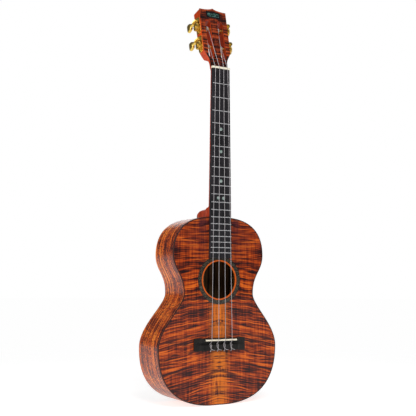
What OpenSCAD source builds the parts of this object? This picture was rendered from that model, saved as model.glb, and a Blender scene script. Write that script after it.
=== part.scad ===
// Baritone ukulele with a slotted head, built as a maker builds it.
// The origin is at the nut, in the middle of the fretboard's playing face.
// +Z runs up the neck to the head, +X is to the right seen from the front,
// and the soundboard faces -Y, so depth into the body is +Y.

/* [Strings] */
// Vibrating length, from the nut to the saddle
scale_length = 508; // [470:1:612]
// Spacing of neighbouring strings at the nut
nut_spacing = 8.9; // [7.5:0.1:9.4]
// Spacing of neighbouring strings at the saddle
saddle_spacing = 14.25; // [11.5:0.05:15]
// Diameter of the strings
string_d = 0.9; // [0.7:0.05:1.1]
// Height of a string above the fretboard at the nut
nut_action = 1.4; // [1.2:0.1:1.8]

/* [Fretboard and nut] */
// Number of frets
fret_count = 20; // [17:1:20]
// Fret at which the neck meets the body
body_fret = 14; // [13:1:15]
// Width of the fretboard at the nut
nut_w = 37; // [35:0.5:41]
// Width of the fretboard at its lower end
board_end_w = 46.4; // [43:0.2:56]
// Thickness of the fretboard
board_t = 5.5; // [4.5:0.5:6.6]
// Fretboard left below the last fret
board_tail = 10; // [6:1:12]
// Thickness of the nut along the neck
nut_t = 4.3; // [3.5:0.1:5.2]
// Height of the nut above the strings' slots
nut_lip = 0.5; // [0.2:0.1:0.8]
// Radius of a fret's crown
fret_r = 1; // [0.8:0.1:1.2]
// Radius of a position dot
dot_r = 3; // [2:0.25:3.6]

/* [Neck] */
// Depth of the neck behind the fretboard at the nut
neck_d_nut = 16; // [14.5:0.5:17.5]
// Depth of the neck behind the fretboard at the heel
neck_d_heel = 18.5; // [17:0.5:21]
// How far the heel stands out of the body along the neck
heel_len = 16; // [13:1:20]
// Half width of the heel at the back of the body
heel_foot = 9.5; // [8:0.5:12]
// Thickness of the heel's cap
heel_cap_t = 2; // [1.5:0.25:3]

/* [Head] */
// How far the head leans back
head_tilt = 13; // [10:0.5:14]
// Width of the head
head_w = 58; // [56:1:70]
// Length of the head at its corners
head_len = 122.5; // [120:0.5:147]
// Height of the point in the middle of the head's top edge
head_point = 5; // [3:0.5:6]
// Thickness of the head at the nut
head_t_nut = 17; // [16:0.5:18]
// Thickness of the head at its top
head_t_top = 24; // [20:0.5:26]
// Thickness of the veneer on the head's face
headplate_t = 1.5; // [1:0.25:2]
// Width of a string slot
slot_w = 12.6; // [11.5:0.1:14]
// Width of the wood between the two slots
slot_bar = 14; // [12:0.2:15.4]
// Distance from the nut to the slots' lower ends
slot_start = 18; // [16:0.5:20]
// Distance from the nut to the slots' upper ends
slot_end = 102; // [100:0.5:112]

/* [Tuners] */
// Distance from the nut to the lower rollers
lower_roller = 47; // [46:0.5:50]
// Distance between the lower and the upper rollers
roller_pitch = 39.5; // [38:0.5:42]
// Depth of the rollers below the wood's face
roller_depth = 9.5; // [9:0.25:10]
// Radius of a roller's barrel
barrel_r = 4; // [3:0.1:4.4]
// Radius of a roller's shaft
shaft_r = 2.5; // [2:0.1:2.8]
// Teeth on a gear
gear_teeth = 15; // [14:1:16]
// Module of the gears and the worms: the pitch of their teeth is this times pi
gear_module = 1; // [0.98:0.01:1.02]
// Width of a gear
gear_w = 4; // [3.4:0.2:4.2]
// Pitch radius of a worm
worm_r = 3.5; // [3.3:0.1:3.6]
// Thickness of a tuner's plate
plate_t = 1.2; // [1:0.1:1.6]
// Width of a tuner's plate
plate_w = 15; // [14:0.5:16]
// Radius of the shaft that carries the button
key_r = 2; // [1.6:0.1:2.1]
// Size of a button along its shaft
button_len = 14.5; // [12:0.5:17.5]
// Width of a button across its shaft
button_w = 16.5; // [13.5:0.5:20]
// Thickness of a button
button_t = 7.4; // [6.2:0.2:9]
// Depth below the wood's face at which a button starts
button_start = 26; // [25:0.5:32]

/* [Body] */
// Length of the body
body_len = 344; // [335:1:413]
// Width of the upper bout
upper_w = 192; // [175:1:210]
// Width of the waist
waist_w = 147.4; // [135:0.2:160]
// Width of the lower bout
lower_w = 249; // [225:1:299]
// Distance from the body's top to the widest place of the upper bout
upper_at = 69; // [62:1:72]
// Distance from the body's top to the waist
waist_at = 142.5; // [138:0.5:150]
// Distance from the body's top to the widest place of the lower bout
lower_at = 240; // [232:1:250]
// Depth of the body at the neck
depth_neck = 72; // [66:0.5:86]
// Depth of the body at the tail
depth_tail = 87.5; // [80:0.5:105]

/* [Plates and ribs] */
// Thickness of the soundboard
top_t = 2.2; // [1.8:0.1:2.7]
// Thickness of the back
back_t = 2.2; // [1.8:0.1:2.7]
// Thickness of the sides and of the binding
side_t = 2; // [1.6:0.1:2.4]
// Height of the binding
binding_h = 4; // [3:0.25:5]
// Width of the linings
lining_w = 5; // [4:0.25:6]
// Height of the linings
lining_h = 11; // [9:0.5:14]
// Half width of the neck block
block_half = 28; // [26:1:34]
// Length of the neck block
neck_block_len = 32; // [28:1:38]
// Thickness of the tail block
tail_block_len = 14; // [12:0.5:18]
// Height of the soundboard's cross braces
brace_h = 9; // [7:0.5:11]
// Width of every brace
brace_w = 6; // [5:0.5:7.5]
// Height of the fan braces
fan_h = 6; // [5:0.5:7.5]
// Height of the back's braces
back_brace_h = 11; // [9:0.5:14]

/* [Soundhole] */
// Radius of the soundhole
hole_r = 34.5; // [30:0.5:36]
// Distance from the body's top to the middle of the soundhole
hole_at = 116.8; // [116:0.2:119]
// Plain wood between the soundhole and the rosette
rosette_gap = 2.5; // [2:0.5:3.5]
// Width of the rosette
rosette_w = 8; // [6:0.25:9.6]
// Depth of the rosette's channel
rosette_t = 1.2; // [0.8:0.1:1.5]

/* [Bridge] */
// Length of the bridge across the soundboard
bridge_w = 107.4; // [98:0.2:129]
// Size of the bridge along the strings
bridge_len = 22.4; // [21.6:0.2:24]
// Height of the bridge's ends
wing_h = 3.2; // [2.6:0.1:4]
// Height of the ridge that holds the saddle
ridge_h = 7.2; // [6.6:0.1:7.4]
// Height of the tie block
tie_h = 6.8; // [6.4:0.1:7.2]
// Height of the saddle's top above the soundboard
saddle_h = 10.4; // [10.2:0.1:11.6]
// Length of the saddle
saddle_w = 64.3; // [60:0.1:68]
// Thickness of the saddle
saddle_t = 3; // [2.6:0.1:3.4]
// Thickness of the patch under the bridge
patch_t = 1.5; // [1.2:0.1:2]

/* [Fits] */
// Radial clearance of every shaft that turns
run = 0.06; // [0.02:0.01:0.1]
// End play of a roller, and the gap beside a gear
play = 0.2; // [0.1:0.05:0.3]
// Gap between a string and what it bears on
string_gap = 0.05; // [0.03:0.01:0.1]

/* [Hidden] */
$fn = 48;
KEYS = [1, 2, 3, 4];

far = 400;          // reaches past the whole body
eps = 1;            // how far a cut runs past the face that it leaves
curve_steps = 24;   // points on each stretch of the body's outline
koa = [0.62, 0.28, 0.1];
neck_wood = [0.7, 0.25, 0.08];
pale_wood = [0.85, 0.72, 0.5];
spruce = [0.9, 0.8, 0.6];
ebony = [0.08, 0.08, 0.09];
bone = [0.93, 0.9, 0.8];
nickel = [0.8, 0.8, 0.78];
gold = [0.85, 0.65, 0.2];
shell = [0.45, 0.6, 0.55];
nylon = [0.85, 0.85, 0.82];

// --- Places along the instrument ---

function fret_z(n) = -scale_length * (1 - pow(2, -n / 12));
board_len = -fret_z(fret_count) + board_tail;
function board_half(z) = (nut_w + (board_end_w - nut_w) * -z / board_len) / 2;
top_y = board_t;
body_top = fret_z(body_fret);
body_end = body_top - body_len;
hole_z = body_top - hole_at;
saddle_z = -scale_length;
function back_y(z) = top_y + depth_neck + (depth_tail - depth_neck) * (body_top - z) / body_len;

// --- Curves ---

function bezier(p, t) = pow(1 - t, 3) * p[0] + 3 * pow(1 - t, 2) * t * p[1]
    + 3 * (1 - t) * t * t * p[2] + pow(t, 3) * p[3];
function bezier_slope(p, t) = pow(1 - t, 2) * (p[1] - p[0]) + 2 * (1 - t) * t * (p[2] - p[1])
    + t * t * (p[3] - p[2]);
function curve(p, n) = [for (i = [0 : n]) bezier(p, i / n)];
function reversed(p) = [for (i = [len(p) - 1 : -1 : 0]) p[i]];
function mirrored(p) = [for (q = reversed(p)) [-q[0], q[1]]];

// --- The body's outline ---

flat_half = 15;     // half of the straight top edge, where the neck joins
tail_end = [0, body_end];
upper_bout = [upper_w / 2, body_top - upper_at];
waist = [waist_w / 2, body_top - waist_at];
lower_bout = [lower_w / 2, body_top - lower_at];
tail_drop = lower_bout[1] - body_end;
// Four stretches of the right-hand edge, each with the direction of its neighbours at its ends
stretches = [
    [[flat_half, body_top], [flat_half + 42, body_top], upper_bout + [0, 52], upper_bout],
    [upper_bout, upper_bout - [0, 31], waist + [0, 38], waist],
    [waist, waist - [0, 22], lower_bout + [0, 39], lower_bout],
    [lower_bout, lower_bout - [0, 1.085 * tail_drop], tail_end + [17, 0], tail_end]];
// A point of the outline, moved in from the edge by d
function inset_point(p, t, d) = let (v = bezier_slope(p, t))
    bezier(p, t) + d * [v[1], -v[0]] / norm(v);
function half_outline(d) = concat([[0, body_top - d]],
    [for (p = stretches, i = [0 : curve_steps - 1]) inset_point(p, i / curve_steps, d)],
    [[0, body_end + d]]);
function outline(d) = concat(half_outline(d), [for (q = mirrored(half_outline(d)))
    if (q[0] < -0.001) q]);
function half_band(d0, d1) = concat(half_outline(d0), reversed(half_outline(d1)));
// Half width of the body at height z, inside a border d wide
function half_width(z, d) = lookup(z, [for (q = half_outline(d)) [q[1], q[0]]]);

// --- Ways to place a flat shape ---

// A shape drawn in X and Z, standing from y0 to y1
module sheet_xz(y0, y1) {
    translate([0, y1, 0]) rotate([90, 0, 0]) linear_extrude(y1 - y0) children();
}
// A shape drawn in Y and Z, standing from x0 to x1
module sheet_yz(x0, x1) {
    translate([x0, 0, 0]) rotate([90, 0, 90]) linear_extrude(x1 - x0) children();
}
module block(low, high) {
    translate(low) cube(high - low);
}
module rod_x(x0, x1, r) {
    translate([x0, 0, 0]) rotate([0, 90, 0]) cylinder(h = x1 - x0, r = r);
}
module rod_y(y0, y1, r) {
    translate([0, y0, 0]) rotate([-90, 0, 0]) cylinder(h = y1 - y0, r = r);
}
module one_side(side) {
    mirror([side < 0 ? 1 : 0, 0, 0]) children();
}

// The space from one depth below the soundboard's face to another above the back's face
module depth_range(front, behind) {
    high = body_top + eps;
    low = body_end - eps;
    sheet_yz(-far, far) polygon([
        [top_y + front, high], [back_y(high) - behind, high],
        [back_y(low) - behind, low], [top_y + front, low]]);
}
// A layer of the back, from d0 to d1 below the back's outer face
module back_layer(d0, d1) {
    high = body_top + eps;
    low = body_end - eps;
    sheet_yz(-far, far) polygon([
        [back_y(high) - d1, high], [back_y(high) - d0, high],
        [back_y(low) - d0, low], [back_y(low) - d1, low]]);
}

// --- The sound box ---

module hole_at_front(r, depth) {
    translate([0, top_y, hole_z]) rod_y(-eps, depth, r);
}
module rosette_ring(y0, y1) {
    difference() {
        translate([0, 0, hole_z]) rod_y(y0, y1, hole_r + rosette_gap + rosette_w);
        translate([0, 0, hole_z]) rod_y(y0 - eps, y1 + eps, hole_r + rosette_gap);
    }
}
module soundboard(side) {
    color(koa) one_side(side) difference() {
        sheet_xz(top_y, top_y + top_t) polygon(half_outline(side_t));
        hole_at_front(hole_r, top_t + eps);
        rosette_ring(top_y - eps, top_y + rosette_t);
    }
}
module rosette() {
    color(shell) rosette_ring(top_y, top_y + rosette_t);
}
module top_binding() {
    color(koa) sheet_xz(top_y, top_y + binding_h) difference() {
        polygon(outline(0));
        polygon(outline(side_t));
    }
}
module rib(side) {
    color(koa) one_side(side) intersection() {
        sheet_xz(top_y, top_y + depth_tail) polygon(half_band(0, side_t));
        depth_range(binding_h, binding_h);
    }
}
module back_plate(side) {
    color(koa) one_side(side) intersection() {
        sheet_xz(top_y, top_y + depth_tail + eps) polygon(half_outline(side_t));
        back_layer(0, back_t);
    }
}
module back_binding() {
    color(koa) intersection() {
        sheet_xz(top_y, top_y + depth_tail + eps) difference() {
            polygon(outline(0));
            polygon(outline(side_t));
        }
        back_layer(0, binding_h);
    }
}
module block_spaces() {
    block([-block_half, 0, body_top - side_t - neck_block_len],
        [block_half, top_y + depth_tail, body_top]);
    block([-block_half, 0, body_end], [block_half, top_y + depth_tail,
        body_end + side_t + tail_block_len]);
}
module lining_band() {
    difference() {
        polygon(outline(side_t));
        polygon(outline(side_t + lining_w));
    }
}
module top_linings() {
    color(pale_wood) difference() {
        sheet_xz(top_y + top_t, top_y + top_t + lining_h) lining_band();
        block_spaces();
    }
}
module back_linings() {
    color(pale_wood) difference() {
        intersection() {
            sheet_xz(top_y, top_y + depth_tail) lining_band();
            back_layer(back_t, back_t + lining_h);
        }
        block_spaces();
    }
}
module end_block(z0, z1) {
    color(neck_wood) intersection() {
        sheet_xz(top_y, top_y + depth_tail) polygon(outline(side_t));
        depth_range(top_t, back_t);
        block([-block_half, 0, z0], [block_half, top_y + depth_tail, z1]);
    }
}
module neck_block() {
    end_block(body_top - side_t - neck_block_len, body_top);
}
module tail_block() {
    end_block(body_end, body_end + side_t + tail_block_len);
}

// A brace across the soundboard, with its ends thinned
module cross_brace(z) {
    end_h = 3;
    taper = 22;
    y = top_y + top_t;
    half = min(half_width(z + brace_w / 2, side_t + lining_w),
        half_width(z - brace_w / 2, side_t + lining_w));
    translate([0, 0, z - brace_w / 2]) linear_extrude(brace_w) polygon([
        [-half, y], [half, y], [half, y + end_h], [half - taper, y + brace_h],
        [taper - half, y + brace_h], [-half, y + end_h]]);
}
brace_gap = 12;     // from the edge of the soundhole to the cross braces
module fan_brace(angle) {
    start = hole_r + brace_gap + brace_w + 6;
    long = body_len - hole_at - start - 34;
    taper = 16;
    translate([0, top_y + top_t, hole_z]) rotate([0, angle, 0])
        translate([0, 0, -start]) sheet_yz(-brace_w / 2, brace_w / 2) polygon([
            [0, 0], [fan_h / 2, 0], [fan_h, -taper],
            [fan_h, taper - long], [fan_h / 2, -long], [0, -long]]);
}
// The patch stands out past the bridge's footprint all round
module patch_space() {
    beside = 6;
    along = 5;
    block([-bridge_w / 2 - beside, top_y + top_t, bridge_low - along],
        [bridge_w / 2 + beside, top_y + top_t + patch_t, bridge_high + along]);
}
module soundboard_braces() {
    color(spruce) union() {
        cross_brace(hole_z + hole_r + brace_gap);
        cross_brace(hole_z - hole_r - brace_gap);
        difference() {
            intersection() {
                union() for (angle = [-20 : 10 : 20]) fan_brace(angle);
                sheet_xz(top_y, top_y + depth_neck) polygon(outline(side_t + lining_w));
            }
            patch_space();
        }
    }
}
module bridge_patch() {
    color(pale_wood) patch_space();
}

// Heights of the back's braces, shared out between the two blocks
back_brace_z = [for (part = [0.22, 0.5, 0.78]) body_top - part * body_len];
module back_brace_space(z) {
    half = min(half_width(z + brace_w / 2, side_t + lining_w),
        half_width(z - brace_w / 2, side_t + lining_w));
    sheet_xz(top_y, top_y + depth_tail) polygon([
        [-half, z - brace_w / 2], [half, z - brace_w / 2],
        [half, z + brace_w / 2], [-half, z + brace_w / 2]]);
}
module back_braces() {
    color(spruce) intersection() {
        union() for (z = back_brace_z) back_brace_space(z);
        back_layer(back_t, back_t + back_brace_h);
    }
}
module back_centre_strip() {
    strip_half = 8;
    strip_t = 1.6;
    color(spruce) difference() {
        intersection() {
            block([-strip_half, top_y, body_end + side_t + tail_block_len],
                [strip_half, top_y + depth_tail, body_top - side_t - neck_block_len]);
            back_layer(back_t, back_t + strip_t);
        }
        for (z = back_brace_z) back_brace_space(z);
    }
}

// --- The neck and the head ---

// The head's own frame: X across, Y into the wood from its face, Z up the head from the nut
face_drop = 2.8;    // how far the wood's face starts behind the bottom of the nut
head_y = top_y + face_drop;
head_half = head_w / 2;
module head_frame() {
    translate([0, head_y, nut_t]) rotate([-head_tilt, 0, 0]) children();
}
function head_point_at(x, depth, s) = [x,
    head_y + depth * cos(head_tilt) + s * sin(head_tilt),
    nut_t - depth * sin(head_tilt) + s * cos(head_tilt)];

foot_start = -3;    // the head's wood runs down into the neck's as far as this
shoulder_end = 35;  // the head's sides are straight from here up
function head_side() = concat([[nut_w / 2, foot_start]],
    curve([[nut_w / 2, 8], [nut_w / 2, 20], [head_half - 4.5, 22], [head_half, shoulder_end]], 14),
    curve([[head_half, head_len], [head_half / 2, head_len],
        [head_half / 5, head_len + 0.3 * head_point], [0, head_len + head_point]], 12));
module head_plan() {
    side = head_side();
    polygon(concat(side, [for (q = mirrored(side)) if (q[0] < -0.001) q]));
}
slot_x = (slot_bar + slot_w) / 2;
module slot_plan() {
    r = slot_w / 2;
    for (x = [-slot_x, slot_x]) {
        translate([x - r, slot_start + r]) square([slot_w, slot_end - slot_start - slot_w]);
        translate([x, slot_start + r]) circle(r);
        translate([x, slot_end - r]) circle(r);
    }
}
foot_end = 20.5;    // the head is square behind from here up, and round like the neck below
foot_edge = 2;      // depth of the round part at the nut's ends
module head_foot() {
    deep = head_t_nut - foot_edge;
    r = (pow(nut_w / 2, 2) + pow(deep, 2)) / (2 * deep);
    translate([0, head_t_nut - r, foot_start]) cylinder(h = foot_end - foot_start, r = r);
}
module neck_shaft() {
    // Each cross section is part of a circle that meets the fretboard's edges
    half_heel = board_half(body_top);
    r_nut = (pow(nut_w / 2, 2) + pow(neck_d_nut, 2)) / (2 * neck_d_nut);
    r_heel = (pow(half_heel, 2) + pow(neck_d_heel, 2)) / (2 * neck_d_heel);
    y_nut = top_y + neck_d_nut - r_nut;
    y_heel = top_y + neck_d_heel - r_heel;
    lean = atan((y_nut - y_heel) / (nut_t - body_top));
    long = (nut_t - body_top) / cos(lean);
    intersection() {
        translate([0, y_heel, body_top]) rotate([-lean, 0, 0]) cylinder(h = long, r1 = r_heel, r2 = r_nut);
        block([-nut_w, top_y, body_top], [nut_w, far, nut_t - 0.2]);
    }
}
heel_back = back_y(body_top);
module heel(y0, y1) {
    neck_back = top_y + neck_d_heel;
    heel_top = body_top + heel_len;
    shaft_foot = heel_top + 2.5;    // the shaft runs out into the heel's flat top from here
    side_view = concat([[top_y, body_top], [top_y, shaft_foot], [neck_back - 5, shaft_foot]],
        curve([[neck_back - 2, shaft_foot - 0.3], [neck_back, heel_top + 1],
            [neck_back + 3, heel_top + 0.2], [neck_back + 10, heel_top]], 8),
        curve([[neck_back + 19, heel_top], [heel_back - 8, heel_top + 1],
            [heel_back - 0.5, heel_top - 3], [heel_back, body_top + 3.5]], 12),
        [[heel_back, body_top]]);
    board_edge = board_half(body_top);
    end_view = concat(
        curve([[board_edge, top_y], [board_edge, top_y + 13], [heel_foot + 7, neck_back + 4],
            [heel_foot + 2, neck_back + 30]], 12),
        [[heel_foot, heel_back]]);
    intersection() {
        sheet_yz(-board_edge - eps, board_edge + eps) polygon(side_view);
        translate([0, 0, body_top]) linear_extrude(2 * heel_len) polygon(concat(end_view, mirrored(end_view)));
        block([-far, y0, body_top], [far, y1, 0]);
    }
}
module neck() {
    color(neck_wood) difference() {
        union() {
            neck_shaft();
            heel(top_y, heel_back - heel_cap_t);
            head_frame() intersection() {
                sheet_xz(0, head_t_top + eps) head_plan();
                union() {
                    head_foot();
                    sheet_yz(-far, far) polygon([[0, foot_start], [foot_edge, foot_start], [foot_edge, 6], [6, 13.5],
                        [head_t_nut, foot_end], [head_t_top, head_len + head_point + eps],
                        [0, head_len + head_point + eps]]);
                }
            }
        }
        head_frame() {
            sheet_xz(-eps, head_t_top + 2 * eps) slot_plan();
            inlay_space(eps);
        }
        for (k = KEYS) tuner_frame(k) {
            rod_x(-roller_reach - play, eps, barrel_r + run);
            for (z = screw_at) translate([0, 0, z]) rod_x(-screw_len, eps, screw_r);
        }
    }
}
module heel_cap() {
    color(ebony) heel(heel_back - heel_cap_t, heel_back);
}
inlay_half = 15.6;  // half width of the panel above the slots
inlay_low = 105.5;
inlay_high = 120;
inlay_t = 1;
module inlay_space(proud) {
    block([-inlay_half, -headplate_t - proud, inlay_low],
        [inlay_half, inlay_t - headplate_t, inlay_high]);
}
module headplate() {
    color(koa) difference() {
        head_frame() difference() {
            sheet_xz(-headplate_t, 0) head_plan();
            sheet_xz(-headplate_t - eps, eps) slot_plan();
            inlay_space(eps);
        }
        block([-far, -far, -far], [far, far, nut_t]);
    }
}
module head_inlay() {
    color(shell) head_frame() inlay_space(0);
}

// --- The fretboard ---

tang_half = 0.28;   // half thickness of the part of a fret that is let into the fretboard
tang_depth = 1.6;
module fret_profile() {
    intersection() {
        circle(fret_r);
        translate([-fret_r - eps, -fret_r - eps]) square([fret_r + eps, 2 * (fret_r + eps)]);
    }
    into_crown = 0.2;
    translate([-into_crown, -tang_half]) square([tang_depth + into_crown, 2 * tang_half]);
}
fret_inset = 0.8;   // from the end of a fret to the fretboard's edge
module fret(n, inset) {
    half = board_half(fret_z(n)) - inset;
    translate([0, 0, fret_z(n)]) sheet_yz(-half, half) fret_profile();
}
pair_half = 0.62 * nut_spacing;     // half the distance between the two dots at the octave
module dots(y0, y1) {
    for (n = [5, 7, 10]) translate([0, 0, (fret_z(n) + fret_z(n - 1)) / 2]) rod_y(y0, y1, dot_r);
    for (x = [-1, 1]) translate([x * pair_half, 0, (fret_z(12) + fret_z(11)) / 2])
        rod_y(y0, y1, dot_r);
}
dot_t = 1.2;
module fretboard() {
    color(ebony) difference() {
        sheet_xz(0, board_t) polygon([[-nut_w / 2, 0], [nut_w / 2, 0],
            [board_end_w / 2, -board_len], [-board_end_w / 2, -board_len]]);
        for (n = [1 : fret_count]) translate([0, 0, fret_z(n)])
            block([-board_end_w, -eps, -tang_half], [board_end_w, tang_depth, tang_half]);
        dots(-eps, dot_t);
    }
}
module frets() {
    color(nickel) for (n = [1 : fret_count]) fret(n, fret_inset);
}
module fret_markers() {
    color(shell) dots(0, dot_t);
}

// --- The strings' route ---

string_r = string_d / 2;
function side_of(k) = k <= 2 ? 1 : -1;
function place_of(k) = (k == 1 || k == 4) ? 0 : 1;
function roller_s(k) = lower_roller + place_of(k) * roller_pitch;
function nut_x(k) = (2.5 - k) * nut_spacing;
function saddle_x(k) = (2.5 - k) * saddle_spacing;
// Where the string meets its roller, across the head
function roller_x(k) = side_of(k) * (slot_x - (place_of(k) == 0 ? 0.2 : 2.2));
saddle_top = top_y - saddle_h;
nut_y = -nut_action - string_r;
wrap_r = barrel_r + string_r + 0.1;     // the string passes just clear of the barrel

function nut_point(k) = [nut_x(k), nut_y, 0.3];
// The tangent from the nut to the front of the roller, in the head's depth and length
function nut_in_head(k) = let (q = nut_point(k) - [0, head_y, nut_t])
    [q[1] * cos(head_tilt) - q[2] * sin(head_tilt), q[1] * sin(head_tilt) + q[2] * cos(head_tilt)];
function tangent_angle(k) = let (v = [roller_depth, roller_s(k)] - nut_in_head(k))
    atan2(v[0], v[1]) - asin(wrap_r / norm(v));
// A point on the string's turn round the roller, a degrees past the tangent
function wrap_point(k, a) = let (b = tangent_angle(k) - 90 + a)
    head_point_at(roller_x(k), roller_depth + wrap_r * sin(b), roller_s(k) + wrap_r * cos(b));

function tie_point(k, x, h, z) = [saddle_x(k) + x, top_y - h, saddle_z + z];
crown_r = saddle_t / 2 + string_r + string_gap + 0.02;
function crown_point(k, a) = [saddle_x(k), saddle_top + saddle_t / 2 - crown_r * cos(a),
    saddle_z - crown_r * sin(a)];
// The knot at the tie block, as steps across, above the soundboard and along from the saddle
knot = [[8, 7.5, -18.2], [5, 7.6, -17.8], [2.4, 8.3, -16.9], [0.4, 8.7, -15.6], [-1, 8, -13.6],
    [-1.6, 7.4, -11], [-1.6, 7.4, -9.2], [-1.5, 6.5, -7.6], [-1.2, 5, -6.6], [-0.4, 3.9, -5.9],
    [0.5, 3.8, -5.7], [1.3, 4.7, -6.2], [1.5, 6.2, -7.4], [1.3, 7.35, -9.2], [1, 7.4, -12], [0.6, 7.4, -15.5], [0.2, 7.4, -18.4],
    [0, 6.9, -19.7], [0, 5.9, -20.3], [0, 4.7, -20.2], [0, 3.8, -19.6], [0, 3.4, -18.6],
    [0, 3.4, -14], [0, 3.4, -8.3]];
function string_route(k) = concat([for (p = knot) tie_point(k, p[0], p[1], p[2])],
    [for (a = [50, 25, 0]) crown_point(k, a)],
    [nut_point(k)],
    [for (a = [0 : 20 : 100]) wrap_point(k, a)]);

// A tube of radius r along a route, with its sides carried round the bends without a twist
function unit(v) = v / norm(v);
function heading(p, i) = unit(i == 0 ? p[1] - p[0] : i == len(p) - 1 ? p[i] - p[i - 1]
    : unit(p[i] - p[i - 1]) + unit(p[i + 1] - p[i]));
function across(u, d) = unit(u - (u * d) * d);
function carried(p) = [for (i = 0, u = across([1, 0.13, 0.07], heading(p, 0)); i < len(p);
    i = i + 1, u = i < len(p) ? across(u, heading(p, i)) : u) u];
module tube(p, r, n = 8) {
    u = carried(p);
    points = [for (i = [0 : len(p) - 1], j = [0 : n - 1]) let (v = cross(heading(p, i), u[i]))
        p[i] + r * (cos(360 * j / n) * u[i] + sin(360 * j / n) * v)];
    sides = [for (i = [0 : len(p) - 2], j = [0 : n - 1]) let (a = i * n + j, b = i * n + (j + 1) % n)
        each [[a, b, b + n], [a, b + n, a + n]]];
    last = (len(p) - 1) * n;
    polyhedron(points, concat(
        [[for (j = [n - 1 : -1 : 0]) j]],
        [for (f = sides) [f[0], f[1], f[2]]],
        [[for (j = [0 : n - 1]) last + j]]));
}
module string(k) {
    color(nylon) tube(string_route(k), string_r);
}
// The turns beside the string on its roller: each bears a little on the next
wraps = 3;
wrap_pitch = 0.92 * string_d;
module string_wraps(k) {
    color(nylon) tuner_frame(k)
        translate([abs(roller_x(k)) - head_half, 0, 0]) rotate([0, 90, 0]) rotate_extrude()
            for (i = [1 : wraps])
                translate([barrel_r + string_r + 0.02, string_r * 0.2 + i * wrap_pitch])
                    circle(string_r);
}

module nut() {
    h = nut_action + nut_lip;
    color(bone) difference() {
        sheet_yz(-nut_w / 2, nut_w / 2) polygon([[top_y, 0], [-h, 0], [-h - 0.2, 0.8],
            [-h + 0.4, nut_t - 1], [-h + 1.6, nut_t], [top_y, nut_t]]);
        for (k = KEYS) nut_slot(k);
    }
}
// A slot that follows the string down towards its roller
module nut_slot(k) {
    step = wrap_point(k, 0) - nut_point(k);
    fall = step[1] / norm([step[0], step[2]]);
    half = string_r + string_gap;
    start = -0.4;
    stop = nut_t + eps;
    translate(nut_point(k)) rotate([0, atan2(step[0], step[2]), 0])
        sheet_yz(-half, half) polygon([[-4, start - 2], [half, start - 2], [half, start],
            [half + fall * stop, stop], [-4, stop]]);
}

// --- The bridge ---

ridge_front = 3.4;  // from the saddle's middle to the bridge's upper edge
bridge_high = saddle_z + ridge_front;
bridge_low = bridge_high - bridge_len;
tie_front = -8.6;   // the tie block's front, from the saddle's middle
module bridge() {
    valley_h = 2.4;     // the floor between the saddle's ridge and the tie block
    corner = 1;
    hole_h = 3.4;       // height of the strings' holes above the soundboard
    hole_gap = 0.25;
    seat = saddle_w / 2 + 3.5;
    half = bridge_w / 2;
    slope = concat([[half, wing_h - 0.6]], curve([[half - 4, wing_h], [seat + 8, wing_h],
        [seat + 4, wing_h + 0.5], [seat, ridge_h]], 8));
    color(ebony) difference() {
        intersection() {
            sheet_xz(top_y - far, top_y) polygon([
                [-half, bridge_low + corner], [corner - half, bridge_low], [half - corner, bridge_low],
                [half, bridge_low + corner], [half, bridge_high - corner], [half - corner, bridge_high],
                [corner - half, bridge_high], [-half, bridge_high - corner]]);
            translate([0, top_y, bridge_low]) linear_extrude(bridge_len) polygon(concat([[half, 0]],
                [for (q = slope) [q[0], -q[1]]], [for (q = mirrored(slope)) [q[0], -q[1]]],
                [[-half, 0]]));
            translate([0, top_y, saddle_z]) sheet_yz(-half, half) polygon([
                [0, ridge_front], [-ridge_h + 0.8, ridge_front], [-ridge_h, ridge_front - 1],
                [-ridge_h, -ridge_front], [-valley_h, -ridge_front - 0.8], [-valley_h, tie_front],
                [-tie_h, tie_front], [-tie_h, ridge_front - bridge_len + 0.8],
                [0.8 - tie_h, ridge_front - bridge_len], [0, ridge_front - bridge_len]]);
        }
        saddle_space(eps);
        for (k = KEYS) translate([saddle_x(k), top_y - hole_h, bridge_low - eps])
            cylinder(h = bridge_len, r = string_r + hole_gap);
    }
}
saddle_seat = 2.6;  // from the soundboard to the bottom of the saddle's slot
module saddle_space(proud) {
    block([-saddle_w / 2, top_y - saddle_h - proud, saddle_z - saddle_t / 2],
        [saddle_w / 2, top_y - saddle_seat, saddle_z + saddle_t / 2]);
}
module saddle() {
    r = saddle_t / 2;
    color(bone) translate([0, 0, saddle_z]) sheet_yz(-saddle_w / 2, saddle_w / 2) union() {
        translate([saddle_top + r, -r]) square([saddle_h - saddle_seat - r, 2 * r]);
        intersection() {
            translate([saddle_top + r, 0]) circle(r);
            translate([saddle_top - eps, -2 * r]) square([r + eps, 4 * r]);
        }
    }
}

// --- The tuners ---

// A tuner's own frame: the origin on the head's side at the roller's axis, X away from
// the head, Y towards its back and Z up the head
module tuner_frame(k) {
    head_frame() one_side(side_of(k)) translate([head_half, roller_depth, roller_s(k)]) children();
}
pitch_r = gear_module * gear_teeth / 2;
worm_lead = PI * gear_module;
worm_up = pitch_r + worm_r;         // from the roller's axis to the worm's axis
worm_root = worm_r - 1.1 * gear_module;
worm_tip = worm_r + 0.85 * gear_module;
worm_out = plate_t + play + worm_tip;   // from the head's side to the worm's axis
gear_start = worm_out - gear_w / 2;     // the gear's hub stands between it and the plate
gear_end = worm_out + gear_w / 2;
roller_seat = 4.5;                      // how far a roller's end runs into the middle bar
roller_reach = head_half - slot_bar / 2 + roller_seat;
ear_r = 3.8;                        // the plate's two ears carry the worm
ear_t = 1.6;
ear_y = plate_w / 2;                // the ears' outer faces
front_journal_r = 1.6;              // the worm's shaft in the ear at the front
worm_half = ear_y - ear_t - play;
screw_r = 1;
screw_head_t = 1;
screw_slot_half = 0.25;
screw_len = head_half - slot_x - slot_w / 2 - 1.4;  // ends in the wood beside the slot
screw_head_r = 1.9;
plate_low = -13.5;
plate_high = worm_up + 9.5;
screw_at = [plate_low + 2.5, plate_high - 2.5];

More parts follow.
